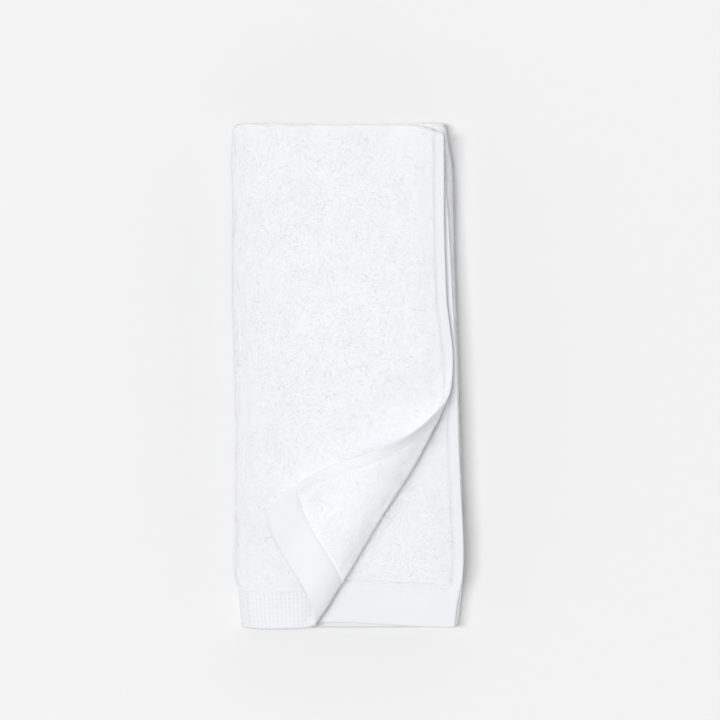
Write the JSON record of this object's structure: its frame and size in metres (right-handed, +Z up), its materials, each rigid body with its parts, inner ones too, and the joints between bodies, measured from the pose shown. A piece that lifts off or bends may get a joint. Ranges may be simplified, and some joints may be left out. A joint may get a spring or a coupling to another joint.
{
  "type": "hand towel",
  "caption": "Folded cotton terry hand towel with waffle-woven end borders, one corner of the top layer turned back.",
  "frame": {"origin": "middle of the folded towel's footprint, on the surface it lies on", "axes": "+Y along the folded towel towards its crosswise fold, +Z up, +X towards the free side hems"},
  "size_m": [0.1743, 0.3817, 0.0476],
  "materials": {
    "cotton": "white looped cotton terry, flat woven hems and waffle end borders, matt"
  },
  "bodies": {
    "root": {"towel": "cotton"}
  },
  "joints": []
}
